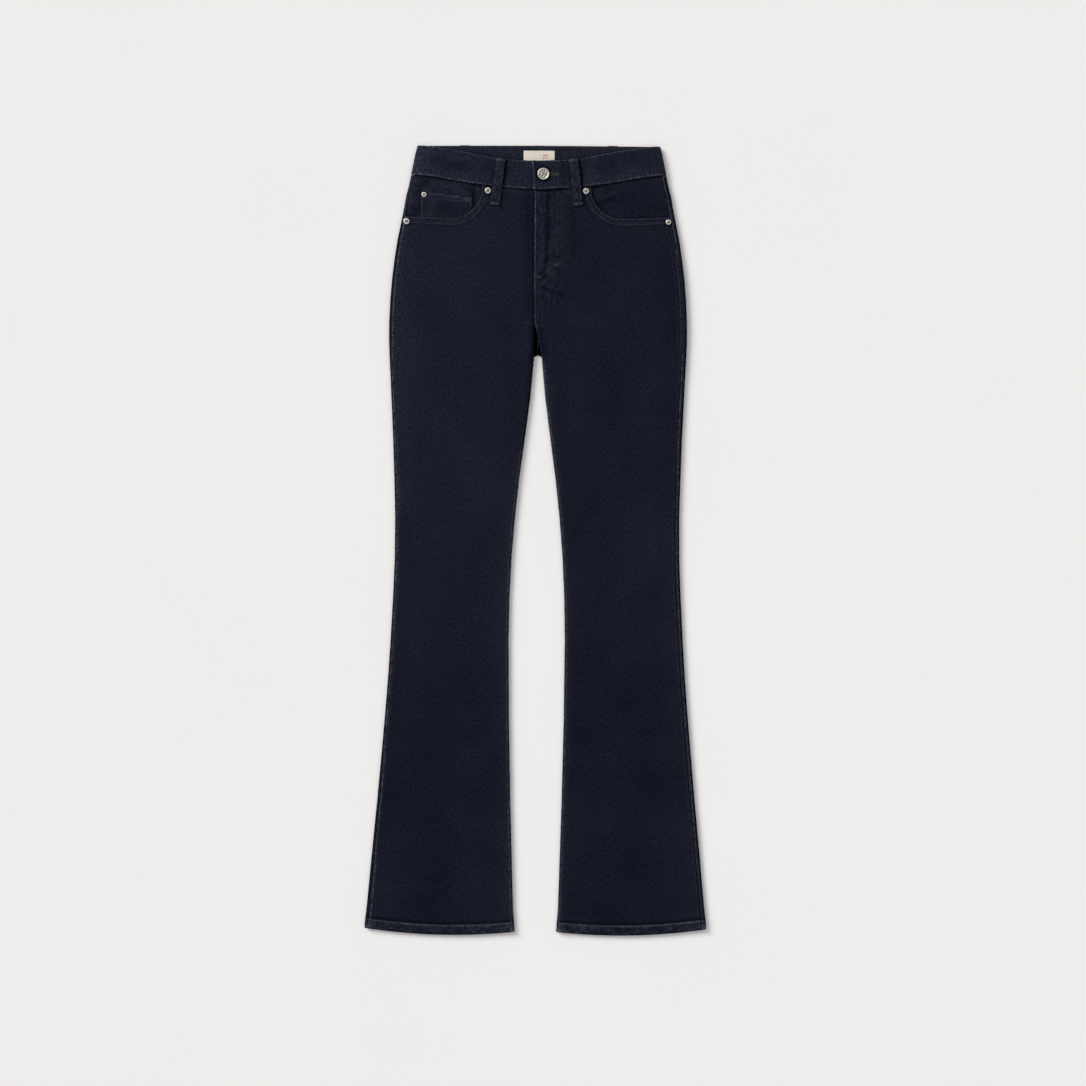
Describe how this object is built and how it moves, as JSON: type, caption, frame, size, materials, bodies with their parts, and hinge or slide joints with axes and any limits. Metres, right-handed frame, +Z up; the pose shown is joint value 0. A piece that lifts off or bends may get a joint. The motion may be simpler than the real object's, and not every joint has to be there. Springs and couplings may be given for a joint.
{
  "type": "bootcut jeans",
  "caption": "Dark navy bootcut jeans laid flat, face up, with a buttoned waistband, scooped front pockets, patch back pockets and flared hems.",
  "frame": {"origin": "middle of the jeans' outline, on the surface they lie on", "axes": "+Y towards the waist, +X towards the wearer's left side, +Z up from the surface, so the front faces +Z"},
  "size_m": [0.485, 1.121, 0.0139],
  "materials": {
    "denim": "matt twill",
    "facing_denim": "matt twill, less worn",
    "zip_tape": "matt woven tape",
    "nickel": "satin nickel plate",
    "label_satin": "satin ribbon"
  },
  "bodies": {
    "root": {"front_right": "denim", "front_left": "denim", "back_right": "denim", "back_left": "denim", "yoke_right": "denim", "yoke_left": "denim", "waistband": "denim", "pocket_facing_right": "facing_denim", "pocket_facing_left": "facing_denim", "coin_pocket": "denim", "back_pocket_right": "denim", "back_pocket_left": "denim", "fly_shield": "denim", "fly_zip": "zip_tape", "belt_loop_front_right": "denim", "belt_loop_front_left": "denim", "belt_loop_back_right": "denim", "belt_loop_back_left": "denim", "belt_loop_back_centre": "denim", "waist_button": "nickel", "rivet_right_mouth_inner": "nickel", "rivet_right_mouth_outer": "nickel", "rivet_coin": "nickel", "rivet_left_mouth_inner": "nickel", "rivet_left_mouth_outer": "nickel", "size_label": "label_satin"}
  },
  "joints": []
}
